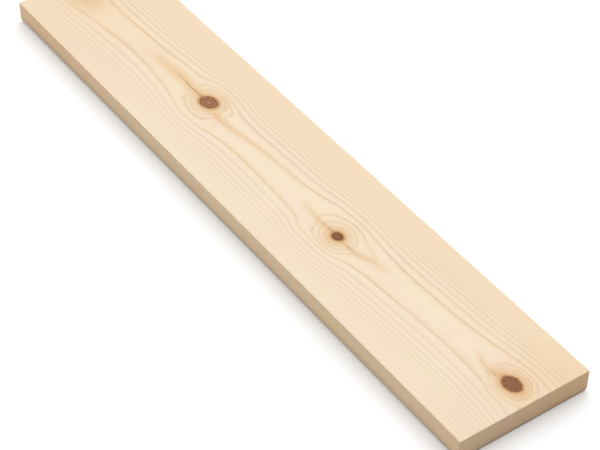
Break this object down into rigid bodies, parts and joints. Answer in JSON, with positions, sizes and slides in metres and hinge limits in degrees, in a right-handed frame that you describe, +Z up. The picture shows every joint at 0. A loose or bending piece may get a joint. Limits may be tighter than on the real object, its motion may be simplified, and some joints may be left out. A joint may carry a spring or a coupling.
{
  "type": "timber plank",
  "caption": "Flat rectangular planed softwood board with crisp face arrises, rounded back arrises and square sawn ends, laid flat on its back face.",
  "frame": {"origin": "middle of the back face, which lies on the ground", "axes": "+X along the grain to the end nearest the viewer, +Y to the right long edge, +Z up through the planed face"},
  "size_m": [0.63, 0.12, 0.02],
  "materials": {
    "planed_softwood": "matte"
  },
  "bodies": {
    "root": {"plank": "planed_softwood"}
  },
  "joints": []
}
